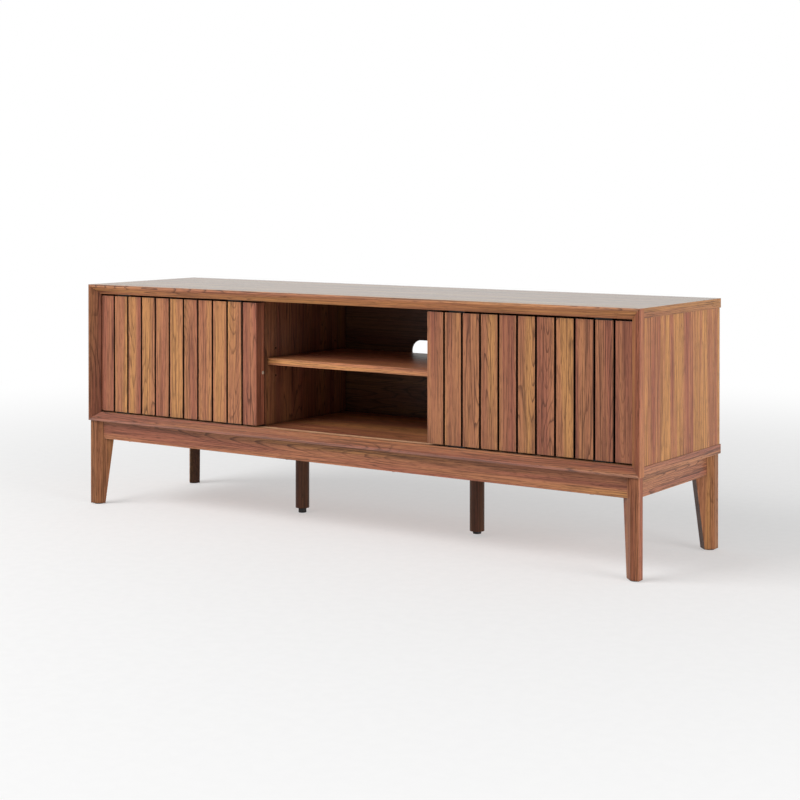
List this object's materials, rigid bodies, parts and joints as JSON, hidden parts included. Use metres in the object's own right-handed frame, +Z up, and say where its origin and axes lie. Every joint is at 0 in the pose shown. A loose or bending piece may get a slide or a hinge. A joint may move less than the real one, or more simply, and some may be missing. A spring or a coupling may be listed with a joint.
{
  "type": "tv stand with doors",
  "caption": "Low walnut TV stand with sliding slatted doors either side of an open shelved bay, on tapered corner legs with adjustable middle legs.",
  "frame": {"origin": "floor level under the centre of the body", "axes": "+X to the right along the length, +Y from the slatted front to the rear, +Z up"},
  "size_m": [1.5, 0.39, 0.54],
  "materials": {
    "walnut_frame": "satin walnut veneer, long grain",
    "walnut_panel": "satin walnut veneer",
    "walnut_upright": "satin walnut veneer, vertical grain",
    "back_board": "dark walnut foil on hardboard",
    "walnut_shelf": "satin walnut veneer",
    "walnut_slat": "satin walnut veneer, vertical grain, each slat a different tone",
    "door_board": "dark walnut foil",
    "walnut_apron": "satin walnut veneer",
    "walnut_leg": "satin stained solid wood",
    "mid_leg_wood": "dark stained wood",
    "beech": "plain beech dowel",
    "black_plastic": "matte",
    "brown_plastic": "matte brown",
    "clear_rubber": "translucent soft pad",
    "zinc_steel": "zinc plated",
    "bright_steel": "nickel plated",
    "black_steel": "black powder coat",
    "zinc_cast": "die-cast zinc alloy"
  },
  "bodies": {
    "body": {"frame_top_rail": "walnut_frame", "frame_bottom_rail": "walnut_frame", "frame_left_stile": "walnut_frame", "frame_right_stile": "walnut_frame", "top_panel": "walnut_panel", "bottom_panel": "walnut_panel", "left_side_panel": "walnut_upright", "right_side_panel": "walnut_upright", "left_divider": "walnut_upright", "right_divider": "walnut_upright", "back_panel": "back_board", "centre_shelf": "walnut_shelf", "left_shelf": "walnut_shelf", "right_shelf": "walnut_shelf", "shelf_pins": "bright_steel", "top_track": "brown_plastic", "bottom_track": "brown_plastic", "front_apron": "walnut_apron", "rear_apron": "walnut_apron", "left_apron": "walnut_apron", "right_apron": "walnut_apron", "front_left_leg": "walnut_leg", "front_right_leg": "walnut_leg", "rear_left_leg": "walnut_leg", "rear_right_leg": "walnut_leg", "foot_glides": "black_plastic", "front_left_bracket": "zinc_steel", "front_right_bracket": "zinc_steel", "rear_left_bracket": "zinc_steel", "rear_right_bracket": "zinc_steel", "leg_bolts": "zinc_steel", "leg_nuts": "zinc_steel", "bracket_screws": "zinc_steel", "apron_screws": "zinc_steel", "apron_caps": "brown_plastic", "left_mid_leg": "mid_leg_wood", "right_mid_leg": "mid_leg_wood", "left_mid_plate": "black_steel", "right_mid_plate": "black_steel", "plate_screws": "zinc_steel", "leveller_inserts": "zinc_steel", "bottom_screws": "zinc_steel", "top_dowels": "beech", "cam_bolts": "zinc_steel", "cam_locks": "zinc_cast", "frame_dowels": "beech"},
    "left_door": {"left_door_board": "door_board", "left_door_slats": "walnut_slat", "left_door_glides": "black_plastic", "left_door_guides": "black_plastic", "left_door_bumper": "clear_rubber"},
    "right_door": {"right_door_board": "door_board", "right_door_slats": "walnut_slat", "right_door_glides": "black_plastic", "right_door_guides": "black_plastic", "right_door_bumper": "clear_rubber"},
    "left_leveller_foot": {"left_leveller": "black_plastic"},
    "right_leveller_foot": {"right_leveller": "black_plastic"}
  },
  "joints": [
    {"name": "left_door_slide", "type": "slide", "parent": "body", "child": "left_door", "axis": [1, 0, 0], "range_m": [0, 0.234]},
    {"name": "right_door_slide", "type": "slide", "parent": "body", "child": "right_door", "axis": [-1, 0, 0], "range_m": [0, 0.234]},
    {"name": "left_leveller_screw", "type": "slide", "parent": "body", "child": "left_leveller_foot", "axis": [0, 0, 1], "range_m": [0, 0.011]},
    {"name": "right_leveller_screw", "type": "slide", "parent": "body", "child": "right_leveller_foot", "axis": [0, 0, 1], "range_m": [-0.0055, 0.006]}
  ]
}
